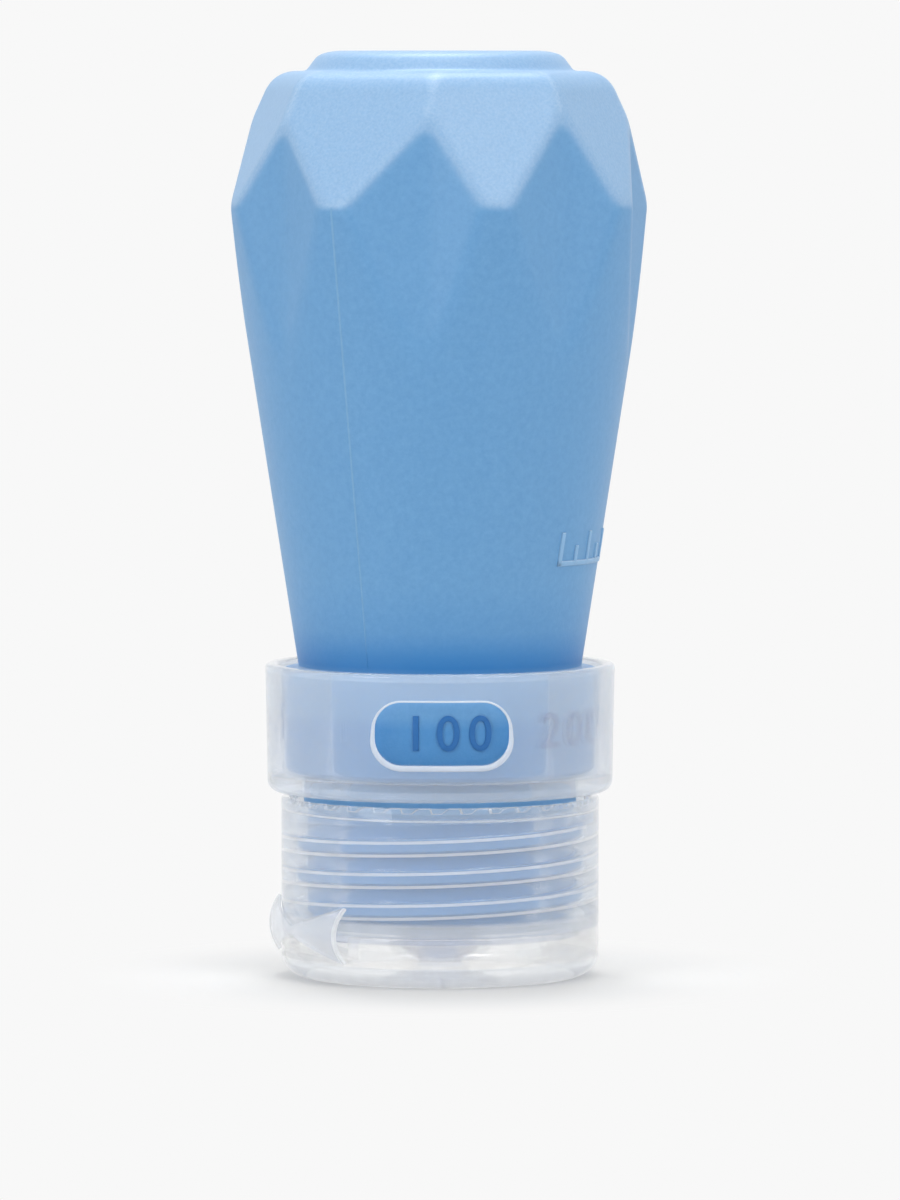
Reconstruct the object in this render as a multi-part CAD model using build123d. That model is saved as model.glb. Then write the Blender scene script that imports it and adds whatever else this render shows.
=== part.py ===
from build123d import *
import os
from math import cos, radians, sin

# Closure, lid and cap share one outside and the bottle stands on the lid's flat top
closure_radius = 19.9
lid_height = 6.4
lid_wall = 1.5
lid_floor = 1.2
lid_edge_round = 4.4
seam_gap = 0.1

# Plug pin on the lid, tapered so that it swings out of the spout
pin_radius = 2.6
pin_taper = 0.55
pin_end_gap = 0.7
pin_straight_height = 1.4
pin_foot_flare = 0.3
pin_foot_height = 0.5
ejector_mark_radius = 1.95
ejector_mark_depth = 0.15
ejector_mark_offset = 7.0
ejector_mark_azimuth = -55.0

# Screw cap
skirt_height = 16.1
skirt_wall = 1.7
rim_counterbore = 0.35
rim_counterbore_height = 1.6
step_clearance = 0.65
step_drop = 1.2
deck_thickness = 1.3
deck_edge_height = 1.1
spout_radius = 5.8
spout_tip_gap = 1.1
spout_wall = 1.3
spout_lip_wall = 0.8
spout_lip_height = 1.0
spout_swell_share = 0.2
pin_clearance = 0.1
rim_teeth = 32
tooth_depth = 0.4
tooth_height = 0.83
tooth_top_width = 2.7
tooth_bottom_width = 1.3
tooth_slant_share = 0.2
thumb_scoop_width = 11.0
thumb_scoop_height = 2.6
thumb_scoop_depth = 0.9

# Bow-tie hinge, one film across the seam, bowed out in its two wings
hinge_azimuth = -66.0
hinge_half_angle = 31.0
hinge_waist_angle = 1.5
hinge_film = 0.45
hinge_end_half_height = 3.3
hinge_waist_half_height = 0.3
hinge_bulge = 1.0
hinge_end_hollow = 2.1
hinge_standoff = 0.05
hinge_notch_inset = 0.35
hinge_stations = 5

# Screw thread, one right-handed helix shape on neck and cap
thread_pitch = 3.9
thread_depth = 1.3
thread_root_width = 2.0
thread_crest_width = 1.2
thread_clearance = 0.3
thread_end_gap = 0.075
thread_start_azimuth = -60.0
thread_root_sink = 0.4

# Silicone bottle below the crown
neck_wall = 2.2
neck_end_chamfer = 0.4
neck_swell = 0.45
seal_space = 1.2
body_wall = 1.9
band_taper = 0.5
band_round = 0.5
band_step_height = 0.6
band_step_depth = 2.13
taper_top_radius = 26.7
taper_height = 57.5
inner_blend_height = 6.0

# Faceted crown, ridges above and grooves below a zigzag of facet tips
facet_count = 8
facet_turn = 15.0
crown_height = 16.5
valley_depth = 2.95
valley_drop = 5.6
groove_length = 19.7
facet_tip_width = 3.1
ridge_round = 1.6
valley_turns = [0.0, -1.6, 3.9, 1.7]
valley_rise_shares = [1.0, 0.945, 1.0, 1.075]

# Foot on the crown, the bottle's base when it stands the other way up
base_thickness = 2.4
foot_radius = 16.6
foot_top_radius = 15.9
foot_height = 2.5
foot_round = 1.2
foot_dish_radius = 12.0
foot_dish_depth = 0.8

# Raised scale on the taper
scale_azimuth = 66.0
scale_rise = 12.8
scale_height = 4.25
scale_bar = 0.7
scale_relief = 0.35
scale_angle = 9.0
scale_bar_shares = [1.0, 0.6, 1.0, 0.6, 1.0]

# Label collar that turns on the bottle's band
collar_gap = 1.0
collar_height = 15.7
collar_wall = 1.7
collar_floor = 1.9
collar_taper = 0.3
collar_bottom_round = 1.4
collar_top_round = 0.5
collar_clearance = 0.3
window_width = 17.0
window_height = 7.8
window_corner = 3.3
window_offset = 0.5
bead_width = 0.9
bead_height = 0.45

# Valve disc between the neck and the cap's deck
valve_clearance = 0.1
valve_rim_inset = 0.2
valve_dome_clearance = 0.7
valve_dome_drop = 1.2
valve_knee_share = 0.75
valve_film = 0.5
valve_slit_width = 0.15
valve_slit_length = 5.0

overrun = 2.0
pick_tolerance = 0.025

# Levels above the standing face
rim_level = lid_height + skirt_height
deck_low_level = lid_height - step_drop
deck_top_level = deck_low_level + deck_thickness
spout_tip_level = lid_floor + spout_tip_gap
pin_top_level = deck_top_level + valve_clearance - valve_dome_drop - pin_end_gap
neck_end_level = deck_top_level + seal_space
collar_level = rim_level + collar_gap
collar_top_level = collar_level + collar_height
band_level = collar_level + collar_floor + collar_clearance
band_top_level = collar_top_level - band_step_height
tip_level = collar_top_level + taper_height
groove_level = tip_level - groove_length
shoulder_level = tip_level + crown_height
foot_level = shoulder_level + foot_height
valley_level = shoulder_level - valley_drop
counterbore_level = rim_level - rim_counterbore_height
thread_level = neck_end_level + thread_root_width / 2 + neck_end_chamfer
thread_top_level = counterbore_level - thread_root_width / 2 - thread_end_gap
neck_thread_turns = (thread_top_level - thread_level) / thread_pitch
cap_thread_turns = neck_thread_turns - 3 / 4

# Radii that follow
cap_bore_radius = closure_radius - skirt_wall
lid_bore_radius = closure_radius - lid_wall
step_radius = lid_bore_radius - step_clearance
pin_tip_radius = pin_radius - pin_taper
pin_foot_radius = pin_radius + pin_foot_flare
spout_bore_radius = pin_radius + pin_clearance
spout_lip_radius = spout_bore_radius + spout_lip_wall
valve_dome_radius = spout_radius - spout_wall - valve_dome_clearance
neck_radius = cap_bore_radius - thread_clearance - thread_depth
neck_bore_radius = neck_radius - neck_wall
collar_outer_low = closure_radius + collar_wall
collar_outer_top = collar_outer_low + collar_taper
collar_inner_top = closure_radius + collar_taper
collar_hole_radius = neck_radius + neck_swell + collar_clearance
band_top_radius = collar_inner_top - collar_clearance
band_low_radius = band_top_radius - band_taper
taper_base_radius = band_top_radius - band_step_depth
valley_radius = taper_top_radius - valley_depth
facet_angle = 360 / facet_count


def around(radius, azimuth, level):
    """Point at an azimuth counted from the front, -Y, towards +X."""
    turn = radians(azimuth)
    return Vector(radius * sin(turn), -radius * cos(turn), level)


def facing(azimuth, level):
    """Plane through the axis with its normal outward at the azimuth and its Y axis up."""
    turn = radians(azimuth)
    along = Vector(cos(turn), sin(turn), 0)
    return Plane(origin=(0, 0, level), x_dir=along, z_dir=around(1, azimuth, 0))


def closed(*points):
    return make_face(Polyline(*points, close=True))


def turned(*points):
    """Solid of revolution about Z from an outline drawn in the XZ plane."""
    return revolve(Plane.XZ * closed(*points), Axis.Z)


def ring(low_inner, low_outer, high_inner, high_outer, low, high):
    return turned((low_inner, low), (low_outer, low), (high_outer, high), (high_inner, high))


def at_height(shape, level):
    """Circular edges that lie at a level."""
    low = level - pick_tolerance
    return shape.edges().filter_by(GeomType.CIRCLE).filter_by_position(Axis.Z, low, level + pick_tolerance)


def helical_ridge(base_radius, depth, level, turns):
    """Trapezoid swept up a right-handed helix and rooted past its base, inward for a negative depth."""
    path = Helix(thread_pitch, thread_pitch * turns, base_radius)
    side = 1 if depth > 0 else -1
    slant = (thread_root_width - thread_crest_width) / 2 / abs(depth)
    root = thread_root_width / 2 + slant * thread_root_sink
    back = base_radius - side * thread_root_sink
    crest = base_radius + depth
    half = thread_crest_width / 2
    section = closed((back, 0, -root), (crest, 0, -half), (crest, 0, half), (back, 0, root))
    ridge = sweep(section, path=path, is_frenet=True)
    return Pos(0, 0, level) * Rot(0, 0, thread_start_azimuth - 90) * ridge


def taper_radius(level, inset):
    """Outside of the tapering body, moved in by the inset."""
    share = (level - collar_top_level) / taper_height
    return taper_base_radius + share * (taper_top_radius - taper_base_radius) - inset


def valley_points(number, inset):
    """Upper and lower end of the valley between two facets."""
    entry = (number - 1) % len(valley_turns)
    azimuth = facet_turn + (number + 0.5) * facet_angle + valley_turns[entry]
    rise = (valley_level - tip_level) * valley_rise_shares[entry]
    top = around(valley_radius - inset, azimuth, tip_level + rise)
    low = around(taper_radius(groove_level, inset), azimuth, groove_level)
    return top, low


def facet_tip(number, inset, side):
    """Point on a facet's short lower edge, -1 and 1 are its ends."""
    azimuth = facet_turn + number * facet_angle
    along = facing(azimuth, 0).x_dir
    return around(taper_top_radius - inset, azimuth, tip_level) + along * (side * facet_tip_width / 2)


def beyond_facet(number, inset):
    """Block outside the plane through a facet's tip and its two valleys."""
    tip = facet_tip(number, inset, 0)
    left = valley_points(number - 1, inset)[0]
    right = valley_points(number, inset)[0]
    normal = (right - tip).cross(left - tip).normalized()
    size = 2 * taper_top_radius
    block = Box(2 * size, 2 * size, size, align=(Align.CENTER, Align.CENTER, Align.MIN))
    return Plane(origin=tip, z_dir=normal) * block


def groove(number, inset):
    """Wedge with its edge along a valley, cutting the two faces below it."""
    top, low = valley_points(number, inset)
    line = (top - low).normalized()
    start = low - line * groove_length
    corners = [start]
    for tip in (facet_tip(number, inset, 1), facet_tip(number + 1, inset, -1)):
        out = tip - low
        out = (out - line * out.dot(line)).normalized()
        corners.append(start + out * taper_top_radius)
    return extrude(closed(*corners), amount=3 * groove_length, dir=line)


def faceted(form, inset):
    for number in range(facet_count):
        form -= beyond_facet(number, inset)
        form -= groove(number, inset)
    return form


def bottle_outside():
    neck_top = neck_radius + neck_swell
    wide = taper_radius(shoulder_level, 0)
    form = turned(
        (0, neck_end_level),
        (neck_radius - neck_end_chamfer, neck_end_level),
        (neck_radius, neck_end_level + neck_end_chamfer),
        (neck_radius, counterbore_level),
        (neck_top, counterbore_level + neck_swell),
        (neck_top, band_level),
        (band_low_radius - band_round, band_level),
        (band_low_radius, band_level + band_round),
        (band_top_radius, band_top_level - band_round),
        (band_top_radius - band_round, band_top_level),
        (taper_radius(band_top_level, 0), band_top_level),
        (wide, shoulder_level),
        (0, shoulder_level),
    )
    form = faceted(form, 0)
    upper = form.edges().filter_by(GeomType.LINE).filter_by_position(
        Axis.Z, valley_level, shoulder_level
    )
    return fillet(upper, ridge_round)


def foot():
    form = ring(0, foot_radius, 0, foot_top_radius, shoulder_level - foot_height, foot_level)
    form = fillet(at_height(form, foot_level), foot_round)
    dish = ring(
        0, foot_dish_radius - foot_dish_depth, 0, foot_dish_radius + overrun,
        foot_level - foot_dish_depth, foot_level + overrun,
    )
    return form - dish


def bottle_inside():
    ceiling = shoulder_level - base_thickness
    form = turned(
        (0, neck_end_level - overrun),
        (neck_bore_radius, neck_end_level - overrun),
        (neck_bore_radius, collar_top_level - inner_blend_height),
        (taper_radius(collar_top_level, body_wall), collar_top_level),
        (taper_radius(ceiling, body_wall), ceiling),
        (0, ceiling),
    )
    return faceted(form, body_wall)


def raised_scale():
    """Row of upright bars on a base line, raised off the taper."""
    low = collar_top_level + scale_rise
    high = low + scale_height
    shell = ring(
        taper_radius(low, scale_relief), taper_radius(low, -scale_relief),
        taper_radius(high, scale_relief), taper_radius(high, -scale_relief), low, high,
    )
    reach = 2 * taper_top_radius
    count = len(scale_bar_shares)
    bars = []
    for number, share in enumerate(scale_bar_shares):
        azimuth = scale_azimuth + (number - (count - 1) / 2) * scale_angle
        bar = Pos(0, scale_height * share / 2) * Rectangle(scale_bar, scale_height * share)
        bars.append(extrude(facing(azimuth, low) * bar, amount=reach))
        link = Pos(0, scale_bar / 2) * Rectangle(reach * sin(radians(scale_angle)) / 2, scale_bar)
        bars.append(extrude(facing(azimuth, low) * link, amount=reach))
    return shell & Part() + bars


def squeeze_bottle():
    form = bottle_outside() + foot() + raised_scale() - bottle_inside()
    return form + helical_ridge(neck_radius, thread_depth, thread_level, neck_thread_turns)


def window_prism(grow):
    outline = RectangleRounded(window_width + 2 * grow, window_height + 2 * grow, window_corner + grow)
    middle = collar_level + collar_height / 2 + window_offset
    return extrude(facing(0, middle) * outline, amount=2 * collar_outer_top)


def label_collar():
    form = turned(
        (collar_hole_radius, collar_level),
        (collar_outer_low, collar_level),
        (collar_outer_top, collar_top_level),
        (collar_inner_top, collar_top_level),
        (closure_radius, collar_level + collar_floor),
        (collar_hole_radius, collar_level + collar_floor),
    )
    edges = at_height(form, collar_level).sort_by(SortBy.RADIUS)
    form = fillet(edges[-1], collar_bottom_round)
    edges = at_height(form, collar_top_level)
    form = fillet(edges, collar_top_round)
    bead = ring(
        collar_outer_low - bead_height, collar_outer_low + bead_height,
        collar_outer_top - bead_height, collar_outer_top + bead_height, collar_level, collar_top_level,
    )
    return form + (bead & window_prism(bead_width)) - window_prism(0)


def tooth_pockets():
    """Notches round the inside of the cap's rim, steeper on one flank."""
    slope = tooth_top_width - tooth_bottom_width
    left = -tooth_top_width / 2 + slope * tooth_slant_share
    outline = closed(
        (-tooth_top_width / 2, 0),
        (left, -tooth_height),
        (left + tooth_bottom_width, -tooth_height),
        (tooth_top_width / 2, 0),
        (tooth_top_width / 2, overrun),
        (-tooth_top_width / 2, overrun),
    )
    reach = cap_bore_radius + rim_counterbore + tooth_depth
    pockets = Part()
    for number in range(rim_teeth):
        azimuth = number * 360 / rim_teeth
        pockets += extrude(facing(azimuth, rim_level) * outline, amount=reach)
    return pockets


def thumb_scoop():
    radius = (thumb_scoop_height**2 + thumb_scoop_depth**2) / (2 * thumb_scoop_depth)
    place = facing(hinge_azimuth + 180, lid_height)
    centre = closure_radius - thumb_scoop_depth + radius
    roller = Rot(0, 90, 0) * Cylinder(radius, thumb_scoop_width)
    return place * (Pos(0, 0, centre) * roller)


def spout():
    """Round nozzle under the deck, with a straight lip that the pin closes."""
    low = spout_tip_level
    high = deck_low_level + deck_thickness / 2
    middle = (low + deck_low_level) / 2
    swell = (spout_radius - spout_lip_radius) * spout_swell_share
    bend = ThreePointArc(
        (spout_lip_radius, 0, low),
        ((spout_lip_radius + spout_radius) / 2 + swell, 0, middle),
        (spout_radius, 0, deck_low_level),
    )
    rest = Polyline(
        (spout_radius, 0, deck_low_level), (spout_radius, 0, high), (0, 0, high),
        (0, 0, low), (spout_lip_radius, 0, low),
    )
    return revolve(make_face([bend, rest]), Axis.Z)


def spout_passage():
    inner = spout_radius - spout_wall
    lip = spout_tip_level + spout_lip_height
    return turned(
        (0, spout_tip_level - overrun),
        (spout_bore_radius, spout_tip_level - overrun),
        (spout_bore_radius, lip),
        (inner, deck_low_level),
        (inner, deck_top_level + overrun),
        (0, deck_top_level + overrun),
    )


def screw_cap():
    edge = lid_height + deck_edge_height
    form = turned(
        (0, deck_low_level),
        (step_radius, deck_low_level),
        (step_radius, lid_height),
        (closure_radius, lid_height),
        (closure_radius, rim_level),
        (cap_bore_radius + rim_counterbore, rim_level),
        (cap_bore_radius + rim_counterbore, counterbore_level),
        (cap_bore_radius, counterbore_level - rim_counterbore),
        (cap_bore_radius, edge),
        (neck_radius, edge),
        (neck_radius, deck_top_level),
        (0, deck_top_level),
    )
    form = form + spout() - spout_passage()
    form = form - thumb_scoop() - tooth_pockets()
    level = thread_level + thread_pitch / 2
    return form + helical_ridge(cap_bore_radius, -thread_depth, level, cap_thread_turns)


def wing_height(angle):
    share = abs(angle) / hinge_half_angle
    return hinge_waist_half_height + share * (hinge_end_half_height - hinge_waist_half_height)


def hinge_section(angle):
    """Bowed strip across the seam, in the plane at an angle from the waist."""
    half = wing_height(angle)
    inner = closure_radius + hinge_standoff
    outer = inner + hinge_film
    bulge = hinge_bulge * abs(angle) / hinge_half_angle
    azimuth = hinge_azimuth + angle
    corners = [
        around(inner, azimuth, lid_height - half),
        around(inner + bulge, azimuth, lid_height),
        around(inner, azimuth, lid_height + half),
        around(outer, azimuth, lid_height + half),
        around(outer + bulge, azimuth, lid_height),
        around(outer, azimuth, lid_height - half),
    ]
    return make_face(
        [
            ThreePointArc(corners[0], corners[1], corners[2]),
            Line(corners[2], corners[3]),
            ThreePointArc(corners[3], corners[4], corners[5]),
            Line(corners[5], corners[0]),
        ]
    )


def butterfly_hinge():
    form = Part()
    reach = hinge_half_angle - hinge_waist_angle
    for side in (-1, 1):
        steps = [hinge_waist_angle + reach * step / (hinge_stations - 1) for step in range(hinge_stations)]
        form += loft([hinge_section(side * angle) for angle in steps])
    form += loft([hinge_section(-hinge_waist_angle), hinge_section(hinge_waist_angle)], ruled=True)
    end = closure_radius * sin(radians(hinge_half_angle))
    radius = (hinge_end_half_height**2 + hinge_end_hollow**2) / (2 * hinge_end_hollow)
    for side in (-1, 1):
        hole = Pos(side * (end - hinge_end_hollow + radius), 0) * Circle(radius)
        form -= extrude(facing(hinge_azimuth, lid_height) * hole, amount=2 * closure_radius)
    return form


def hinge_notches():
    """Openings in the lid's wall behind the lower half of each wing."""
    waist = closure_radius * sin(radians(2 * hinge_waist_angle))
    end = closure_radius * sin(radians(hinge_half_angle))
    drop = hinge_end_half_height - hinge_notch_inset
    cuts = Part()
    for side in (-1, 1):
        outline = closed(
            (side * waist, 0),
            (side * end, -drop),
            (side * end, overrun),
            (side * waist, overrun),
        )
        cuts += extrude(facing(hinge_azimuth, lid_height) * outline, amount=2 * closure_radius)
    return cuts


def plug_pin():
    low = lid_floor / 2
    top = pin_top_level
    straight = lid_floor + pin_straight_height
    return turned(
        (0, low),
        (pin_foot_radius, low),
        (pin_foot_radius, lid_floor),
        (pin_radius, lid_floor + pin_foot_height),
        (pin_radius, straight),
        (pin_tip_radius, top),
        (0, top),
    )


def flip_lid():
    top = lid_height - seam_gap
    form = Cylinder(closure_radius, top, align=(Align.CENTER, Align.CENTER, Align.MIN))
    form = fillet(at_height(form, 0), lid_edge_round)
    bore = Cylinder(lid_bore_radius, top, align=(Align.CENTER, Align.CENTER, Align.MIN))
    bore = fillet(at_height(bore, 0), lid_edge_round - lid_wall)
    form -= Pos(0, 0, lid_floor) * bore
    for azimuth in (ejector_mark_azimuth, ejector_mark_azimuth + 180):
        place = around(ejector_mark_offset, azimuth, lid_floor)
        form -= Pos(*place) * Cylinder(ejector_mark_radius, 2 * ejector_mark_depth)
    return form - hinge_notches() + plug_pin()


def valve_disc():
    """Sealing ring with a slit dome that hangs into the spout."""
    low = deck_top_level + valve_clearance
    high = neck_end_level - valve_clearance
    rim = neck_radius - valve_rim_inset
    form = ring(valve_dome_radius, rim, valve_dome_radius, rim, low, high)
    bottom = low - valve_dome_drop
    knee = valve_dome_radius / 2
    dome = turned(
        (0, bottom),
        (knee, low - valve_dome_drop * valve_knee_share),
        (valve_dome_radius, low),
        (valve_dome_radius, low + valve_film),
        (knee, low - valve_dome_drop * valve_knee_share + valve_film),
        (0, bottom + valve_film),
    )
    for turn in (0, 90):
        slit = Box(valve_slit_length, valve_slit_width, 2 * valve_dome_drop)
        dome -= Pos(0, 0, bottom) * Rot(0, 0, turn) * slit
    return form + dome


nodes = {
    "squeeze_bottle": squeeze_bottle,
    "label_collar": label_collar,
    "screw_cap": screw_cap,
    "flip_lid": flip_lid,
    "butterfly_hinge": butterfly_hinge,
    "valve_disc": valve_disc,
}

os.makedirs("parts", exist_ok=True)
for name, make in nodes.items():
    shape = make()
    shape.label = name
    export_step(shape, f"parts/{name}.step")
    print(name, round(shape.volume), "mm3")
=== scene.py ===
import math

import bmesh
import bpy
import numpy as np
from mathutils import Matrix, Vector


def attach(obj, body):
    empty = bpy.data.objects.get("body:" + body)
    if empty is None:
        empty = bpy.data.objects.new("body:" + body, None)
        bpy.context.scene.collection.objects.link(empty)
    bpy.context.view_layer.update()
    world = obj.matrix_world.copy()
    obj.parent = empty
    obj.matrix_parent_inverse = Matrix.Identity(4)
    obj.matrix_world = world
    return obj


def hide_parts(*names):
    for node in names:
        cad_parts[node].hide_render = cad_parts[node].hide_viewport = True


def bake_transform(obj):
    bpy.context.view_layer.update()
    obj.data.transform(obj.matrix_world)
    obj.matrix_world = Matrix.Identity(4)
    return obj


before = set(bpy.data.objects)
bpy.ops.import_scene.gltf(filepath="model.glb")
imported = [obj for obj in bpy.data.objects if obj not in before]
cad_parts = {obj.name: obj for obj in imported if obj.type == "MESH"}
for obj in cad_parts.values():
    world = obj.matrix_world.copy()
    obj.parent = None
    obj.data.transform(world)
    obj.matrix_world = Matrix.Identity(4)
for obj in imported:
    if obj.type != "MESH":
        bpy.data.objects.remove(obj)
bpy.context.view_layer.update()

mm = 0.001  # outlines are written in millimetres, meshes leave in metres
fullTurn = 2 * math.pi
print("frame loaded:", sorted(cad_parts))


# materials, helpers

def toLinear(code):  # sRGB hex to linear colour
    parts = [int(code[i:i + 2], 16) / 255 for i in (1, 3, 5)]
    return tuple(c / 12.92 if c <= 0.04045 else ((c + 0.055) / 1.055) ** 2.4 for c in parts) + (1.0,)


def newMaterial(name):
    material = bpy.data.materials.new(name)
    material.use_nodes = True
    material.node_tree.nodes.clear()
    return material, material.node_tree


def addNode(tree, kind, settings=None, links=None):
    node = tree.nodes.new("ShaderNode" + kind)
    for key, value in (settings or {}).items():
        if isinstance(key, int) or key[0].isupper():
            node.inputs[key].default_value = value
        else:
            setattr(node, key, value)
    for key, source in (links or {}).items():
        tree.links.new(source, node.inputs[key])
    return node


siliconeLook = {
    "roughness": 0.44, "roughSpread": 0.06, "gloss": 0.72, "ior": 1.41,
    "glow": 0.15, "glowReach": (0.5, 0.8, 1.0), "glowDepth": 1.0,  # the light that spreads under the skin
    "mottleSize": 0.8, "mottleDetail": 4.0, "mottleRoughness": 0.72,
    # real spark grain is about 0.05 mm, drawn coarser so that it shows
    "grainSize": 0.34, "grainDetail": 2.0, "grainDepth": 0.035, "grainStrength": 0.6,
    # painted sheen: faces that look up, as on the crown, are painted paler; from and to tell how far a face looks up,
    # from -1 to 1
    "paintedSheen": "#BAD1E8", "paintedSheenShare": 0.38, "paintedSheenFrom": -0.04, "paintedSheenTo": 0.2,
    "ridgeHighlight": 0.18,  # painted highlight: the ridges between the facets are painted paler
    "speckle": 0.22, "speckleFrom": 0.3, "speckleTo": 0.7,
    "shade": "#2E7FC0",  # painted shade: deeper and more saturated where light only comes through the wall
    "shadeTop": 52.0,
    "shadeLevels": [  # level in millimetres, share of the painted shade
        (0, 0.7), (20.3, 0.7), (21.2, 0.0), (25.4, 0.0), (26.0, 0.62), (32.2, 0.62), (33.8, 0.2), (38.6, 0.3),
        (39.6, 1.0), (41.0, 0.85), (44.0, 0.25), (50.0, 0.0),
    ],
}


def mouldedSilicone(name, lit, deep):
    # silicone rubber, compression moulded in a spark-eroded mould: matt, softly lit from within
    look = siliconeLook
    material, tree = newMaterial(name)
    coordinates = addNode(tree, "TexCoord")
    where = coordinates.outputs["Object"]
    cloud = addNode(
        tree, "TexNoise",
        {"Scale": 1 / (look["mottleSize"] * mm), "Detail": look["mottleDetail"], "Roughness": look["mottleRoughness"]},
        {"Vector": where},
    )
    body = addNode(
        tree, "Mix", {"data_type": "RGBA", 6: toLinear(deep), 7: toLinear(lit)},
        {"Factor": cloud.outputs["Fac"]},
    )
    # painted shade by height: deeper blue behind the cap and the collar, deepest just above the collar's top
    height = addNode(tree, "SeparateXYZ", links={"Vector": where}).outputs["Z"]
    share = addNode(tree, "MapRange", {"From Max": look["shadeTop"] * mm}, {"Value": height})
    ramp = addNode(tree, "ValToRGB", links={"Fac": share.outputs["Result"]})
    stops = ramp.color_ramp.elements
    for i, (level, grey) in enumerate(look["shadeLevels"]):
        stop = stops[i] if i < 2 else stops.new(level / look["shadeTop"])
        stop.position = level / look["shadeTop"]
        stop.color = (grey, grey, grey, 1.0)
    tint = addNode(
        tree, "Mix", {"data_type": "RGBA", 7: toLinear(look["shade"])},
        {"Factor": ramp.outputs["Color"], 6: body.outputs[2]},
    )
    # painted sheen on the faces that look up
    upward = addNode(tree, "SeparateXYZ", links={"Vector": coordinates.outputs["Normal"]}).outputs["Z"]
    upwardSheen = addNode(
        tree, "MapRange",
        {
            "interpolation_type": "SMOOTHSTEP",
            "From Min": look["paintedSheenFrom"], "From Max": look["paintedSheenTo"], "To Max": look["paintedSheenShare"],
        },
        {"Value": upward},
    )
    # painted highlight along the ridges between the facets
    ridge = addNode(tree, "Attribute", {"attribute_name": "ridgeShare"})
    sheenAndRidgeHighlight = addNode(
        tree, "Math", {"operation": "MULTIPLY_ADD", 1: look["ridgeHighlight"]},
        {0: ridge.outputs["Fac"], 2: upwardSheen.outputs["Result"]},
    )
    grain = addNode(
        tree, "TexNoise", {"Scale": 1 / (look["grainSize"] * mm), "Detail": look["grainDetail"]},
        {"Vector": where},
    )
    speckle = addNode(
        tree, "MapRange",
        {
            "From Min": look["speckleFrom"], "From Max": look["speckleTo"],
            "To Min": 1 - look["speckle"], "To Max": 1 + look["speckle"],
        },
        {"Value": grain.outputs["Fac"]},
    )
    # the grain breaks up the painted sheen and the painted ridge highlight
    specks = addNode(tree, "Math", {"operation": "MULTIPLY"}, {0: sheenAndRidgeHighlight.outputs[0], 1: speckle.outputs["Result"]})
    tint = addNode(
        tree, "Mix", {"data_type": "RGBA", 7: toLinear(look["paintedSheen"])},
        {"Factor": specks.outputs[0], 6: tint.outputs[2]},
    )
    bump = addNode(
        tree, "Bump", {"Strength": look["grainStrength"], "Distance": look["grainDepth"] * mm},
        {"Height": grain.outputs["Fac"]},
    )
    rough = addNode(
        tree, "MapRange",
        {"To Min": look["roughness"] - look["roughSpread"], "To Max": look["roughness"] + look["roughSpread"]},
        {"Value": grain.outputs["Fac"]},
    )
    skin = addNode(
        tree, "BsdfPrincipled",
        {
            "IOR": look["ior"], "Specular IOR Level": look["gloss"], "Subsurface Weight": look["glow"],
            "Subsurface Radius": look["glowReach"], "Subsurface Scale": look["glowDepth"] * mm,
        },
        {"Base Color": tint.outputs[2], "Roughness": rough.outputs["Result"], "Normal": bump.outputs["Normal"]},
    )
    addNode(tree, "OutputMaterial", links={"Surface": skin.outputs["BSDF"]})
    return material


inkLook = {"lit": "#2C6DAE", "deep": "#2463A2", "mottleSize": 0.6, "mottleDetail": 2.0, "roughness": 0.5, "ior": 1.41}


def inkedSilicone():
    # the same silicone in a darker shade, for the numbers of the dial
    look = inkLook
    material, tree = newMaterial("moulded_silicone_dark_blue")
    where = addNode(tree, "TexCoord").outputs["Object"]
    cloud = addNode(
        tree, "TexNoise", {"Scale": 1 / (look["mottleSize"] * mm), "Detail": look["mottleDetail"]},
        {"Vector": where},
    )
    body = addNode(
        tree, "Mix", {"data_type": "RGBA", 6: toLinear(look["deep"]), 7: toLinear(look["lit"])},
        {"Factor": cloud.outputs["Fac"]},
    )
    skin = addNode(
        tree, "BsdfPrincipled", {"IOR": look["ior"], "Roughness": look["roughness"]},
        {"Base Color": body.outputs[2]},
    )
    addNode(tree, "OutputMaterial", links={"Surface": skin.outputs["BSDF"]})
    return material


plasticLook = {
    "ior": 1.42, "waveDepth": 0.01, "waveStrength": 0.25,
    "flowSize": 2.6, "flowStretch": 0.25, "flowDetail": 2.0,  # flow marks of the resin, drawn out along the height
    "cloud": 0.06,  # how much the milk varies
    "shadowMilk": 0.6,
}


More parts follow.
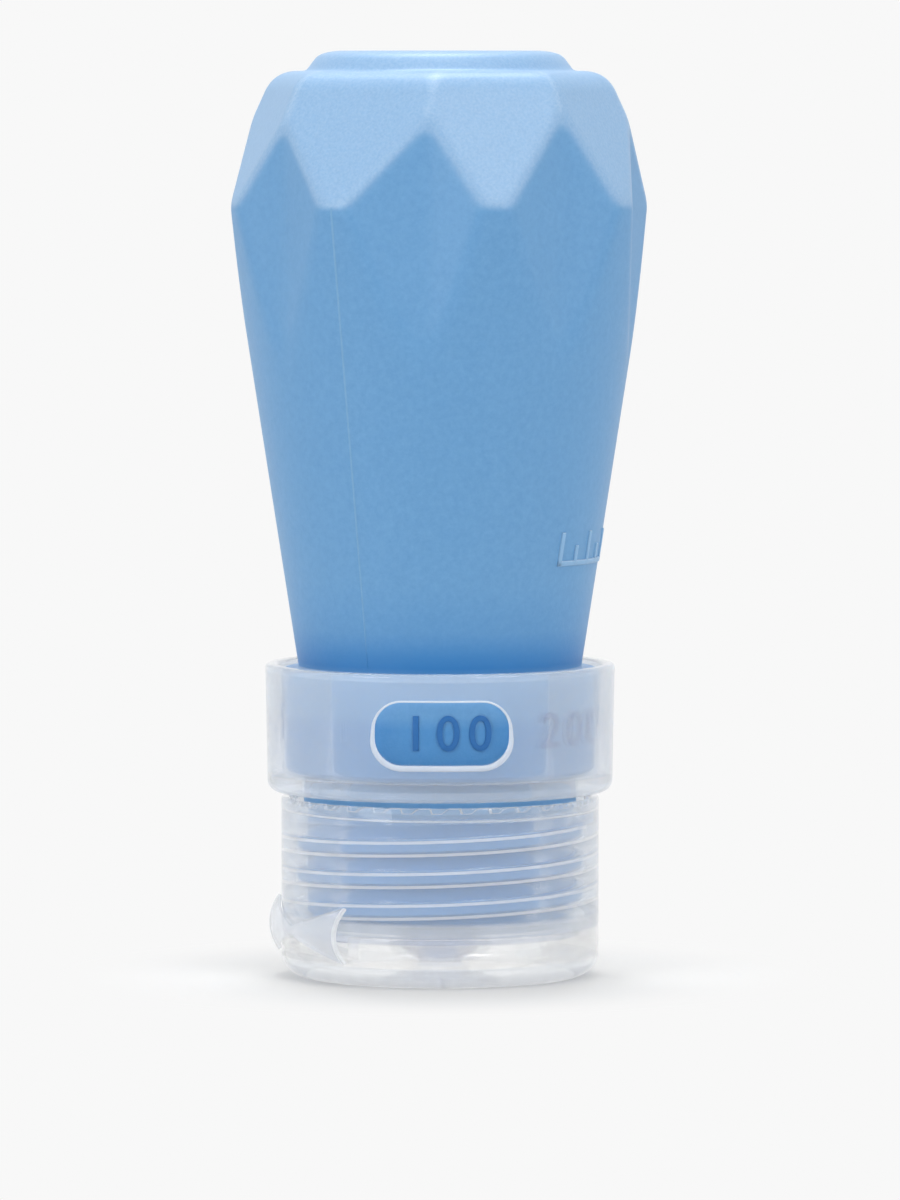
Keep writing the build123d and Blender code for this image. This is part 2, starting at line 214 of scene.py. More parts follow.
def mouldedPolypropylene(name, colour, milk, roughness, cover):
    # natural polypropylene, injection moulded: milky, see-through near by, slightly wavy gloss
    # milk is the share of light that the resin scatters, cover the share that doesn't go straight through
    look = plasticLook
    material, tree = newMaterial(name)
    where = addNode(tree, "TexCoord").outputs["Object"]
    drawn = addNode(tree, "Mapping", {"Scale": (1.0, 1.0, look["flowStretch"])}, {"Vector": where})
    flow = addNode(
        tree, "TexNoise", {"Scale": 1 / (look["flowSize"] * mm), "Detail": look["flowDetail"]},
        {"Vector": drawn.outputs["Vector"]},
    )
    bump = addNode(
        tree, "Bump", {"Strength": look["waveStrength"], "Distance": look["waveDepth"] * mm},
        {"Height": flow.outputs["Fac"]},
    )
    cloudy = addNode(
        tree, "MapRange",
        {"To Min": 1 - milk * (1 + look["cloud"]), "To Max": 1 - milk * (1 - look["cloud"])},
        {"Value": flow.outputs["Fac"]},
    )
    body = addNode(
        tree, "BsdfPrincipled",
        {"Base Color": toLinear(colour), "IOR": look["ior"], "Roughness": roughness, "Alpha": cover},
        {"Transmission Weight": cloudy.outputs["Result"], "Normal": bump.outputs["Normal"]},
    )
    # lamps reach what is behind the plastic
    rays = addNode(tree, "LightPath")
    clear = addNode(tree, "BsdfTransparent", {"Color": (1 - milk * look["shadowMilk"],) * 3 + (1.0,)})
    seen = addNode(
        tree, "MixShader",
        links={0: rays.outputs["Is Shadow Ray"], 1: body.outputs["BSDF"], 2: clear.outputs["BSDF"]},
    )
    addNode(tree, "OutputMaterial", links={"Surface": seen.outputs["Shader"]})
    return material


silicones = {  # name: lit and deep colour
    "moulded_silicone_rubber": ("#70A5D2", "#5790C1"),  # the bottle, matt and even
    "moulded_silicone_seam": ("#7DABD4", "#6CA0CA"),  # the parting line, a shade paler
    "moulded_silicone_raised_mark": ("#8AB4DA", "#80ACD4"),  # raised marks, paler still
}
plastics = {  # name: colour, milk, roughness, cover
    "moulded_polypropylene_natural": ("#FAFDFF", 0.24, 0.04, 0.6),  # walls of cap and collar, softly clear
    "moulded_polypropylene_thin_wall": ("#FFFEFC", 0.22, 0.03, 0.5),  # the lid, a little clearer
    "moulded_polypropylene_polished": ("#FFFFFD", 0.03, 0.05, 0.3),  # the lid's inner face, nearly clear
    "moulded_polypropylene_corner": ("#F4F9FF", 0.36, 0.08, 0.7),  # thick rounded corners, milkier
    "moulded_polypropylene_edge": ("#FAFBFD", 0.6, 0.3, 0.85),  # flanks and edges made milky white: a painted highlight for the bright lines that show through the clear wall
    "moulded_polypropylene_rib": ("#FAFCFE", 0.62, 0.2, 0.85),  # the bead round the window, nearly white
    "moulded_polypropylene_film": ("#F0F4FA", 0.34, 0.1, 0.62),  # the hinge film, hazy from bending
    "moulded_polypropylene_thick": ("#D8E2F6", 0.16, 0.05, 0.66),  # deck and plug pin, cool grey
    "moulded_clear_silicone_seal": ("#C9DAF2", 0.08, 0.12, 0.5),  # the valve disc, clear and bluish
}

blueSkin, seamSkin, paleSkin = (mouldedSilicone(name, *values) for name, values in silicones.items())
darkSkin = inkedSilicone()
(
    wallPlastic, lidPlastic, clearPlastic, ringPlastic, flankPlastic, beadPlastic, filmPlastic, deckPlastic, sealRubber,
) = (mouldedPolypropylene(name, *values) for name, values in plastics.items())
print("materials made")


# shape helpers

rounding = {"edgeShare": 0.49, "leastSteps": 2, "mostSteps": 10, "stepsPerRadius": 3}


def roundedOutline(corners):  # corner radii in the third place, the arcs shrink where an edge is short
    s = rounding
    points = []
    for i, (r, z, size) in enumerate(corners):
        here = Vector((r, z))
        if size <= 0:
            points.append(here)
            continue
        before = Vector(corners[i - 1][:2]) - here
        after = Vector(corners[(i + 1) % len(corners)][:2]) - here
        angle = before.angle(after)
        reach = min(size / math.tan(angle / 2), s["edgeShare"] * before.length, s["edgeShare"] * after.length)
        radius = reach * math.tan(angle / 2)
        start, end = here + before.normalized() * reach, here + after.normalized() * reach
        middle = here + (before.normalized() + after.normalized()).normalized() * (radius / math.sin(angle / 2))
        steps = max(s["leastSteps"], min(s["mostSteps"], int(s["leastSteps"] + radius * s["stepsPerRadius"])))
        a, b = start - middle, end - middle
        sweep = math.atan2(a.x * b.y - a.y * b.x, a.dot(b))
        for k in range(steps + 1):
            turn = sweep * k / steps
            cosine, sine = math.cos(turn), math.sin(turn)
            points.append(middle + Vector((a.x * cosine - a.y * sine, a.x * sine + a.y * cosine)))
    return [(p.x, p.y) for p in points]


def spinOutline(outline, steps, closed, kinds=None):
    bm = bmesh.new()
    layer = bm.verts.layers.int.new("rowKind")
    chain = []
    for i, (r, z) in enumerate(outline):
        v = bm.verts.new((r * mm, 0, z * mm))
        v[layer] = kinds[i] if kinds else 0
        chain.append(v)
    ends = chain + chain[:1] if closed else chain
    for a, b in zip(ends, ends[1:]):
        bm.edges.new((a, b))
    bmesh.ops.spin(
        bm, geom=bm.verts[:] + bm.edges[:], cent=(0, 0, 0), axis=(0, 0, 1), dvec=(0, 0, 0),
        angle=fullTurn, steps=steps, use_merge=True, use_duplicate=False,
    )
    bmesh.ops.remove_doubles(bm, verts=bm.verts, dist=1e-7)
    return bm


def newObject(name, data):
    obj = bpy.data.objects.new(name, data)
    bpy.context.scene.collection.objects.link(obj)
    return obj


def toObject(name, bm, closed=True):
    if closed:
        bmesh.ops.recalc_face_normals(bm, faces=bm.faces)
    mesh = bpy.data.meshes.new(name)
    bm.to_mesh(mesh)
    bm.free()
    return newObject(name, mesh)


def bakedMesh(obj):  # what a curve or the modifiers make
    bpy.context.view_layer.update()
    return bpy.data.meshes.new_from_object(obj.evaluated_get(bpy.context.evaluated_depsgraph_get()))


def curveToObject(name, curve):
    flat = newObject(name, curve)
    mesh = bakedMesh(flat)
    bpy.data.objects.remove(flat)
    return newObject(name, mesh)


def meshPoints(mesh):
    points = np.zeros(len(mesh.vertices) * 3)
    mesh.vertices.foreach_get("co", points)
    return points.reshape(-1, 3)


def extrude(bm, faces, shift):
    made = bmesh.ops.extrude_face_region(bm, geom=faces)
    bmesh.ops.translate(bm, vec=shift, verts=[g for g in made["geom"] if isinstance(g, bmesh.types.BMVert)])


def combine(target, cutter, operation="DIFFERENCE"):
    modifier = target.modifiers.new(operation.lower(), "BOOLEAN")
    modifier.object = cutter
    modifier.operation = operation
    modifier.solver = "EXACT"
    baked = bakedMesh(target)
    target.modifiers.clear()
    target.data = baked
    bpy.data.objects.remove(cutter)


def finishPiece(obj, body, materials, replaced=(), sharp=32):
    for m in materials:
        obj.data.materials.append(m)
    obj.data.shade_smooth()
    obj.data.set_sharp_from_angle(angle=math.radians(sharp))
    if body:
        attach(obj, body)
    if replaced:
        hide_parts(*replaced)
    return obj


def around(radius, azimuth, level):  # azimuth is counted from the front, -Y, towards +X
    turn = math.radians(azimuth)
    return Vector((radius * math.sin(turn), -radius * math.cos(turn), level))


def wrapOn(obj, azimuth, level, radiusAt):
    # flat shape with x across, y up and z outward, in millimetres, laid round the bottle's axis
    for v in obj.data.vertices:
        x, y, z = v.co
        up = level + y
        base = radiusAt(up)
        v.co = around(base + z, azimuth + math.degrees(x / base), up) * mm


# the squeeze bottle

bottleShape = {
    "columns": 320, "coneBase": 17.77, "coneTop": 26.7, "collarTop": 39.2, "tipLevel": 96.7, "wall": 1.9,
    # the crown: facets with their tips on the widest ring, and valleys between them
    "facets": 8, "turn": 15.0, "tipWidth": 3.1, "grooveLevel": 77.0, "valleyRadius": 23.75, "valleyRise": 10.9,
    "valleyTurns": [0.0, -1.6, 3.9, 1.7], "valleyShares": [1.0, 0.945, 1.0, 1.075], "shoulderLevel": 113.2,
    # how softly two surfaces run into one another
    "creaseSoft": 0.45, "coneSoft": 0.5, "ridgeSoft": 1.0, "ridgeReach": 0.6, "zigzagSoft": 0.7, "shoulderSoft": 2.6,
    "neck": [
        (14.4, 7.7, 0.3), (16.2, 7.7, 0.2), (16.6, 8.1, 0.2), (16.6, 20.9, 0.3), (17.05, 21.35, 0.3),
        (17.05, 25.7, 0.3), (18.9, 25.7, 0.2), (19.4, 26.2, 0.3), (19.9, 38.1, 0.3), (19.4, 38.6, 0.3),
        (17.68, 38.6, 0.35),
    ],
    "bodyFrom": 44.0, "bodyStep": 3.0, "crownFrom": 74.0, "rowStep": 0.42,
    # the shoulder's rows fan out from a ring inside the crown
    "fanRadius": 14.0, "fanLevel": 108.4, "fanReach": 6, "fanTurn": 54.0, "fanBend": 0.9, "fanRows": 30,
    "footBase": [(17.2, 113.2), (16.9, 113.24), (16.65, 113.36), (16.45, 113.55), (16.25, 113.82)],
    "foot": [
        (16.02, 114.14), (15.78, 114.46), (15.52, 114.78), (15.2, 115.06), (14.85, 115.26), (14.4, 115.42),
        (13.8, 115.56), (13.1, 115.66), (12.6, 115.7), (12.25, 115.7), (12.0, 115.68), (11.75, 115.55),
        (11.45, 115.2), (11.2, 114.97), (10.9, 114.9), (6.0, 114.9), (0.0, 114.9),
    ],
    "ceiling": 110.8, "ceilingRings": [9.0, 18.0], "innerCrownStep": 1.4, "innerStep": 5.0, "innerTo": 42,
    "bore": [(15.87, 39.2, 0), (14.4, 33.2, 1.5), (14.4, 20.0, 0), (14.4, 8.6, 0)],
    "searchReach": 40.0, "searchSteps": 34,
}


def coneRadius(z):
    s = bottleShape
    return s["coneBase"] + (z - s["collarTop"]) / (s["tipLevel"] - s["collarTop"]) * (s["coneTop"] - s["coneBase"])


def softMax(a, b, size):
    overlap = np.maximum(size - np.abs(a - b), 0) / size
    return np.maximum(a, b) + overlap * overlap * size / 4


def softMin(a, b, size):
    return -softMax(-a, -b, size)


def crownPlanes():
    s = bottleShape
    step = 360 / s["facets"]

    def valley(k):
        entry = (k - 1) % len(s["valleyTurns"])
        azimuth = s["turn"] + (k + 0.5) * step + s["valleyTurns"][entry]
        top = around(s["valleyRadius"], azimuth, s["tipLevel"] + s["valleyRise"] * s["valleyShares"][entry])
        return top, around(coneRadius(s["grooveLevel"]), azimuth, s["grooveLevel"])

    def tip(k, side):
        azimuth = s["turn"] + k * step
        along = around(1, azimuth + 90, 0)
        return around(s["coneTop"], azimuth, s["tipLevel"]) + along * (side * s["tipWidth"] / 2)

    facets, grooves = [], []
    for k in range(s["facets"]):
        middle = tip(k, 0)
        normal = (valley(k)[0] - middle).cross(valley(k - 1)[0] - middle).normalized()
        facets.append((np.array(middle), np.array(normal)))
        top, low = valley(k)
        line = (top - low).normalized()
        outs = []
        for end in (tip(k, 1), tip(k + 1, -1)):
            out = end - low
            outs.append((out - line * out.dot(line)).normalized())
        faces = []
        for out, other in (outs, outs[::-1]):
            n = line.cross(out).normalized()
            faces.append(np.array(n if n.dot(other) > 0 else -n))
        grooves.append((np.array(low), faces[0], faces[1]))
    return facets, grooves


facetPlanes, groovePlanes = crownPlanes()


def crownSides(points):  # distances to the body and to the crown, and how near a ridge between two facets is
    s = bottleShape
    r = np.hypot(points[:, 0], points[:, 1])
    slope = (s["coneTop"] - s["coneBase"]) / (s["tipLevel"] - s["collarTop"])
    lower = (r - coneRadius(points[:, 2])) / math.hypot(1, slope)
    for low, a, b in groovePlanes:
        cut = softMin((points - low) @ a, (points - low) @ b, s["creaseSoft"])
        lower = softMax(lower, cut, s["coneSoft"])
    away = np.stack([(points - middle) @ normal for middle, normal in facetPlanes], 1)
    upper = away[:, 0]
    for k in range(1, s["facets"]):
        upper = softMax(upper, away[:, k], s["ridgeSoft"])
    away.sort(axis=1)
    ridge = np.clip(1 - (away[:, -1] - away[:, -2]) / s["ridgeReach"], 0, 1)
    ridge *= np.clip((upper - lower) / s["zigzagSoft"], 0, 1)
    return lower, upper, ridge


def bottleDistance(points, kind):
    s = bottleShape
    lower, upper, _ = crownSides(points)
    skin = softMax(lower, upper, s["zigzagSoft"])
    outer = softMax(skin, points[:, 2] - s["shoulderLevel"], s["shoulderSoft"])
    return np.where(kind == 3, skin + s["wall"], outer)


def settle(origin, direction, kind):  # how far along each ray the bottle's surface lies
    near, far = np.zeros(len(origin)), np.full(len(origin), bottleShape["searchReach"])
    for _ in range(bottleShape["searchSteps"]):
        middle = (near + far) / 2
        outside = bottleDistance(origin + direction * middle[:, None], kind) > 0
        far = np.where(outside, middle, far)
        near = np.where(outside, near, middle)
    return origin + direction * near[:, None]


def bottleOutline():
    s = bottleShape
    rows = []  # radius, level, kind: 0 stays, 1 outer wall, 2 shoulder, 3 inner wall, 4 base of the foot

    def add(points, kind):
        rows.extend((r, z, kind) for r, z in points)

    add(roundedOutline(s["neck"] + [(coneRadius(s["bodyFrom"]), s["bodyFrom"], 0)]), 0)
    z = s["bodyFrom"] + s["bodyStep"]
    while z < s["crownFrom"]:
        add([(coneRadius(z), z)], 1)
        z += s["bodyStep"]
    z = s["crownFrom"]
    while z < s["fanLevel"]:
        add([(coneRadius(z), z)], 1)
        z += s["rowStep"]
    for k in range(s["fanRows"]):
        turn = math.radians(s["fanTurn"]) * (k / (s["fanRows"] - 1)) ** s["fanBend"]
        add([(s["fanRadius"] + s["fanReach"] * math.cos(turn), s["fanLevel"] + s["fanReach"] * math.sin(turn))], 2)
    add(s["footBase"], 4)
    add(s["foot"], 0)
    add([(r, s["ceiling"]) for r in [0.0] + s["ceilingRings"]], 0)  # the inner wall starts again at the axis
    z = s["ceiling"]
    while z > s["crownFrom"]:
        add([(coneRadius(z) - s["wall"], z)], 3)
        z -= s["innerCrownStep"]
    while z > s["innerTo"]:
        add([(coneRadius(z) - s["wall"], z)], 3)
        z -= s["innerStep"]
    add(roundedOutline(s["bore"]), 0)
    return rows


def buildBottle():
    s = bottleShape
    rows = bottleOutline()
    gap = next(i for i, row in enumerate(rows) if row[0] == 0.0) + 1
    chain = rows[gap:] + rows[:gap]  # ceiling, inner wall, neck, outer wall, foot
    bm = spinOutline([row[:2] for row in chain], s["columns"], False, [row[2] for row in chain])
    bottle = toObject("squeeze_bottle_skin", bm)
    mesh = bottle.data
    points = meshPoints(mesh) / mm
    kind = np.zeros(len(points), np.int32)
    mesh.attributes["rowKind"].data.foreach_get("value", kind)
    r = np.maximum(np.hypot(points[:, 0], points[:, 1]), 1e-9)
    flat = points * [1, 1, 0] / r[:, None]
    moving = (kind > 0) & (kind < 4)
    origin = points * [0, 0, 1]
    direction = flat.copy()
    fan = kind == 2
    origin[fan] = flat[fan] * s["fanRadius"] + [0, 0, s["fanLevel"]]
    away = points[fan] - origin[fan]
    direction[fan] = away / np.linalg.norm(away, axis=1)[:, None]
    points[moving] = settle(origin[moving], direction[moving], kind[moving])
    base = kind == 4  # the foot's base follows the shoulder where a facet dips
    under = points[base] * [1, 1, 0] + [0, 0, s["fanLevel"]]
    shoulder = settle(under, np.tile([0.0, 0.0, 1.0], (len(under), 1)), kind[base])
    points[base, 2] += shoulder[:, 2] - s["shoulderLevel"]
    mesh.vertices.foreach_set("co", (points * mm).ravel())
    # how near each point lies to a ridge, for the painted ridge highlight
    ridge = np.where((kind == 1) | fan, crownSides(points)[2], 0)
    mesh.attributes.new("ridgeShare", "FLOAT", "POINT").data.foreach_set("value", ridge)
    mesh.attributes.remove(mesh.attributes["rowKind"])
    mesh.update()
    return finishPiece(bottle, "bottle", [blueSkin], ["squeeze_bottle"], 40)


bottle = buildBottle()
print("bottle:", len(bottle.data.polygons), "faces")


def helixRidge(name, s):
    # trapezoid ridge wound up a right-handed helix, its ends run out into the wall
    side = 1 if s["depth"] > 0 else -1
    back = s["base"] - side * s["sink"]
    crest = s["base"] + s["depth"]
    slant = (s["rootWidth"] - s["crestWidth"]) / 2 / abs(s["depth"])
    root = s["rootWidth"] / 2 + slant * s["sink"]
    half = s["crestWidth"] / 2
    soft = s["crestRound"]
    lean = s["lean"]
    upper = [  # the crest's corner is rounded over three points
        (crest, half - soft * 0.5), (crest - side * soft * 0.3, half - soft * 0.1),
        (crest - side * soft, half + slant * soft),
    ]
    section = [(r, lean - z) for r, z in reversed(upper)] + [(r, z + lean) for r, z in upper]
    if s["fillet"]:
        low = s["base"] + side * s["filletHeight"]
        foot = root + s["fillet"]
        section = [(back, -foot), (low, -foot), (low, -root)] + section + [(low, root), (low, foot), (back, foot)]
    else:
        section = [(back, -root)] + section + [(back, root)]
    bm = bmesh.new()
    start = math.radians(s["startAzimuth"] - 90)
    turn = Matrix.Rotation(start, 3, "Z")
    ring = [bm.verts.new(turn @ Vector((r * mm, 0, (s["level"] + z) * mm))) for r, z in section]
    bm.faces.new(ring)
    edges = [bm.edges.get((a, b)) for a, b in zip(ring, ring[1:] + ring[:1])]
    steps = int(s["turns"] * s["stepsPerTurn"])
    made = bmesh.ops.spin(
        bm, geom=ring + edges, cent=(0, 0, 0), axis=(0, 0, 1),
        dvec=(0, 0, s["pitch"] * s["turns"] / steps * mm), angle=fullTurn * s["turns"], steps=steps,
        use_merge=False, use_duplicate=False,
    )
    last = [g for g in made["geom_last"] if isinstance(g, bmesh.types.BMVert)]
    bm.verts.index_update()
    bm.verts.ensure_lookup_table()
    bmesh.ops.contextual_create(bm, geom=[e for e in bm.edges if e.is_boundary and all(v in last for v in e.verts)])
    base, sunk = s["base"] * mm, 0.5 * s["sink"] * mm  # where the ends have run out, the crest lies half sunk
    for v in bm.verts:
        number = v.index // len(section)
        fade = min(number, steps - number) / s["fadeSteps"]
        if fade < 1:
            fade = fade * fade * (3 - 2 * fade)
            r = v.co.xy.length
            deep = (r - base) * side
            if deep > -sunk:
                wanted = base + side * (deep * fade - (1 - fade) * sunk)
                v.co.x *= wanted / r
                v.co.y *= wanted / r
        for level, pick in ((s["bottomLevel"] * mm, max), (s["topLevel"] * mm, min)):
            v.co.z = pick(v.co.z, level + (v.co.z - level) * s["squash"])  # flattened at the end of the wall
    return toObject(name, bm)


anyThread = {"pitch": 3.9, "startAzimuth": -60, "fadeSteps": 5, "squash": 0.02}

neckThread = {
    **anyThread, "base": 16.6, "depth": 1.3, "level": 9.1, "turns": 2.75, "stepsPerTurn": 128,
    "rootWidth": 2.0, "crestWidth": 1.2, "sink": 0.4, "crestRound": 0.25, "lean": 0.0, "fillet": 0,
    "bottomLevel": 0.0, "topLevel": 40.0,
}
finishPiece(helixRidge("neck_thread", neckThread), "bottle", [blueSkin])
print("neck thread made")


partingLine = {
    "azimuths": [-30.0, 150.0], "width": 0.5, "topShare": 0.3, "height": 0.035, "sink": 0.1,
    "low": 39.6, "high": 96.4, "rows": 80, "bodyRadius": 24.0,
}


def buildPartingLine(azimuth, name):
    s = partingLine
    bm = bmesh.new()
    bmesh.ops.create_cube(bm, size=1.0)
    lengthwise = [e for e in bm.edges if abs(e.verts[0].co.y - e.verts[1].co.y) > 0.5]
    bmesh.ops.subdivide_edges(bm, edges=lengthwise, cuts=s["rows"], use_grid_fill=True)
    obj = toObject(name, bm)
    box = meshPoints(obj.data)
    level = s["low"] + (box[:, 1] + 0.5) * (s["high"] - s["low"])
    top = box[:, 2] > 0
    turn = math.radians(azimuth) + box[:, 0] * np.where(top, s["topShare"], 1.0) * s["width"] / s["bodyRadius"]
    way = np.stack([np.sin(turn), -np.cos(turn), 0 * turn], 1)
    skin = settle(level[:, None] * [0, 0, 1], way, np.ones(len(box)))
    lift = np.where(top, s["height"], -s["sink"])
    obj.data.vertices.foreach_set("co", ((skin + way * lift[:, None]) * mm).ravel())
    obj.data.update()
    finishPiece(obj, "bottle", [seamSkin])


for i, azimuth in enumerate(partingLine["azimuths"]):
    buildPartingLine(azimuth, f"parting_line_{i + 1}")


raisedScale = {
    "azimuth": 66.0, "low": 52.0, "height": 4.25, "bar": 0.7, "relief": 0.22, "angle": 9.0,
    "shares": [1.0, 0.6, 1.0, 0.6, 1.0], "edge": 0.18, "edgeRows": 2, "bendCuts": 24,
}


def buildScale():
    s = raisedScale
    pitch = math.radians(s["angle"]) * coneRadius(s["low"])
    width = pitch * (len(s["shares"]) - 1) + s["bar"]
    bars = [((k - (len(s["shares"]) - 1) / 2) * pitch, s["bar"], s["height"] * f) for k, f in enumerate(s["shares"])]
    bm = bmesh.new()
    for x, wide, tall in bars + [(0, width, s["bar"])]:
        place = Matrix.Translation((x, tall / 2, 0)) @ Matrix.Diagonal((wide, tall, 2 * s["relief"], 1))
        bmesh.ops.create_cube(bm, size=1.0, matrix=place)
    lengthwise = [e for e in bm.edges if abs(e.verts[0].co.x - e.verts[1].co.x) > width / 2]
    bmesh.ops.subdivide_edges(bm, edges=lengthwise, cuts=s["bendCuts"], use_grid_fill=True)
    corners = [e for e in bm.edges if e.calc_face_angle(0) > 1 and e.verts[0].co.z > 0 and e.verts[1].co.z > 0]
    bmesh.ops.bevel(
        bm, geom=corners, offset=s["edge"], segments=s["edgeRows"], profile=0.5, affect="EDGES", material=-1,
    )
    obj = toObject("raised_scale", bm)
    wrapOn(obj, s["azimuth"], s["low"], coneRadius)
    finishPiece(obj, "bottle", [paleSkin])


buildScale()

band = {"low": 26.2, "high": 38.1, "radius": 19.4, "draft": 0.5}  # the part of the bottle that the collar turns on

dial = {
    "numbers": ["100", "200", "300", "400", "500", "600"], "azimuth": 3.0, "spacing": 51.4, "level": 29.7,
    "height": 4.5, "figureShare": 0.73, "letterSpace": 1.3, "relief": 0.16, "edge": 0.05,
    "arrowAzimuth": -39.0, "arrowLevel": 31.6, "arrowSize": 2.6, "arrowSink": 0.05,
}


def bandRadius(z):
    s = band
    return s["radius"] + (z - s["low"]) / (s["high"] - s["low"]) * s["draft"]


def buildNumber(text, azimuth, name):
    s = dial
    curve = bpy.data.curves.new(name, "FONT")
    curve.body = text
    curve.align_x = "CENTER"
    curve.size = s["height"] / s["figureShare"]
    curve.space_character = s["letterSpace"]
    curve.extrude = s["relief"]
    curve.bevel_depth = s["edge"]
    curve.bevel_resolution = 1
    curve.resolution_u = 8
    obj = curveToObject(name, curve)
    obj.data.materials.clear()
    bm = bmesh.new()
    bm.from_mesh(obj.data)
    bmesh.ops.remove_doubles(bm, verts=bm.verts, dist=1e-5)
    bmesh.ops.recalc_face_normals(bm, faces=bm.faces)
    bm.to_mesh(obj.data)
    bm.free()
    wrapOn(obj, azimuth, s["level"], bandRadius)
    finishPiece(obj, "bottle", [darkSkin])


for i, text in enumerate(dial["numbers"]):
    buildNumber(text, dial["azimuth"] + i * dial["spacing"], f"dial_number_{text}")


def buildArrow():
    s = dial
    bm = bmesh.new()
    bmesh.ops.create_circle(bm, cap_ends=True, segments=3, radius=s["arrowSize"] / 2)
    bmesh.ops.rotate(bm, verts=bm.verts, cent=(0, 0, 0), matrix=Matrix.Rotation(math.pi / 2, 3, "Z"))
    extrude(bm, bm.faces[:], (0, 0, s["relief"]))
    bmesh.ops.translate(bm, vec=(0, 0, -s["arrowSink"]), verts=bm.verts)
    obj = toObject("dial_arrow", bm)
    wrapOn(obj, s["arrowAzimuth"], s["arrowLevel"], bandRadius)
    finishPiece(obj, "bottle", [blueSkin])


buildArrow()
print("dial made")


# the label collar

collarShape = {
    "columns": 224,
    "corners": [
        (17.35, 23.2, 0.25), (21.6, 23.2, 1.4), (21.9, 39.2, 0.5), (20.2, 39.2, 0.5), (19.9, 25.4, 0.35),
        (17.35, 25.4, 0.25),
    ],
    "wallFrom": 23.5, "wallHeight": 15.7, "wallRadius": 21.6, "wallDraft": 0.3,
    "windowLevel": 31.85, "windowShift": 0.25, "windowWidth": 16.5, "windowHeight": 7.8, "windowCorner": 3.3,
    "windowSteps": 8, "cutFrom": 15, "cutDepth": 12,
    "beadRadius": 0.37, "beadOut": 0.3, "beadTop": 0.35, "beadOverlap": 0.95, "beadDepth": 0.9, "beadLift": 0.15,
    "beadSteps": 10, "beadSpacing": 0.6, "beadReach": 6,
    "lipRadius": 19.8, "lipTop": 25.5, "cornerTop": 24.9, "offWall": 0.02,
}


def collarRadius(z):
    s = collarShape
    return s["wallRadius"] + (z - s["wallFrom"]) / s["wallHeight"] * s["wallDraft"]


def roundedRectangle(width, height, corner, steps):
    points = []
    for sx, sy, start in ((1, 1, 0), (-1, 1, 90), (-1, -1, 180), (1, -1, 270)):
        cx, cy = sx * (width / 2 - corner), sy * (height / 2 - corner)
        for k in range(steps + 1):
            turn = math.radians(start + 90 * k / steps)
            points.append((cx + corner * math.cos(turn), cy + corner * math.sin(turn)))
    return points


def windowBead():  # the white bead round the window, full at the bottom and thin along the top
    s = collarShape
    edge = roundedRectangle(s["windowWidth"], s["windowHeight"], s["windowCorner"], s["beadSteps"])
    # the same outline 1 mm further out gives each point its way outward
    away = roundedRectangle(s["windowWidth"] + 2, s["windowHeight"] + 2, s["windowCorner"] + 1, s["beadSteps"])
    path = []
    for (x, y), (x1, y1) in zip(edge, away):
        # painted shade: the bead thins along the top, where it lies in shade, so that less of its white shows there
        rise = min(1, max(0, 0.5 + y / s["windowHeight"]))
        share = 1 - (1 - s["beadTop"]) * rise * rise * (3 - 2 * rise)
        reach = share * s["beadRadius"] * s["beadOverlap"]
        path.append((x + (x1 - x) * reach, y + (y1 - y) * reach, share))
    dense = []
    for start, end in zip(path, path[1:] + path[:1]):
        cuts = max(1, int(math.hypot(end[0] - start[0], end[1] - start[1]) / s["beadSpacing"]))
        dense.extend([a + (b - a) * k / cuts for a, b in zip(start, end)] for k in range(cuts))
    curve = bpy.data.curves.new("window_bead", "CURVE")
    curve.dimensions = "3D"
    spline = curve.splines.new("POLY")
    spline.points.add(len(dense) - 1)
    for point, (x, y, share) in zip(spline.points, dense):
        point.co = (x, y, 0, 1)
        point.radius = share
    spline.use_cyclic_u = True
    curve.bevel_depth = s["beadRadius"]
    curve.bevel_resolution = 3
    bead = curveToObject("window_bead", curve)
    for v in bead.data.vertices:
        x, y, z = v.co
        x += s["windowShift"]
        up = s["windowLevel"] + y
        base = collarRadius(up)
        azimuth = math.degrees(math.asin(max(-1, min(1, x / base))))
        out = base + z * s["beadDepth"] - s["beadRadius"] + s["beadOut"] + s["beadLift"]
        v.co = around(out, azimuth, up) * mm
    return bead


def buildCollar():
    s = collarShape
    collar = toObject("label_collar_ring", spinOutline(roundedOutline(s["corners"]), s["columns"], True))
    cutter = bmesh.new()
    outline = [
        ((x + s["windowShift"]) * mm, -s["cutFrom"] * mm, (s["windowLevel"] + y) * mm)
        for x, y in roundedRectangle(s["windowWidth"], s["windowHeight"], s["windowCorner"], s["windowSteps"])
    ]
    face = cutter.faces.new([cutter.verts.new(point) for point in outline])
    extrude(cutter, [face], (0, -s["cutDepth"] * mm, 0))
    combine(collar, toObject("window_cutter", cutter))
    combine(collar, windowBead(), "UNION")
    finishPiece(
        collar, "label_collar", [wallPlastic, beadPlastic, ringPlastic], ["label_collar"], 40,
    )
    for face in collar.data.polygons:
        x, y, z = face.center / mm
        r = math.hypot(x, y)
        if r > collarRadius(z) + s["offWall"] and abs(z - s["windowLevel"]) < s["beadReach"]:
            face.material_index = 1
        elif z < (s["lipTop"] if r < s["lipRadius"] else s["cornerTop"]):
            face.material_index = 2


buildCollar()
print("collar made")


# the screw cap

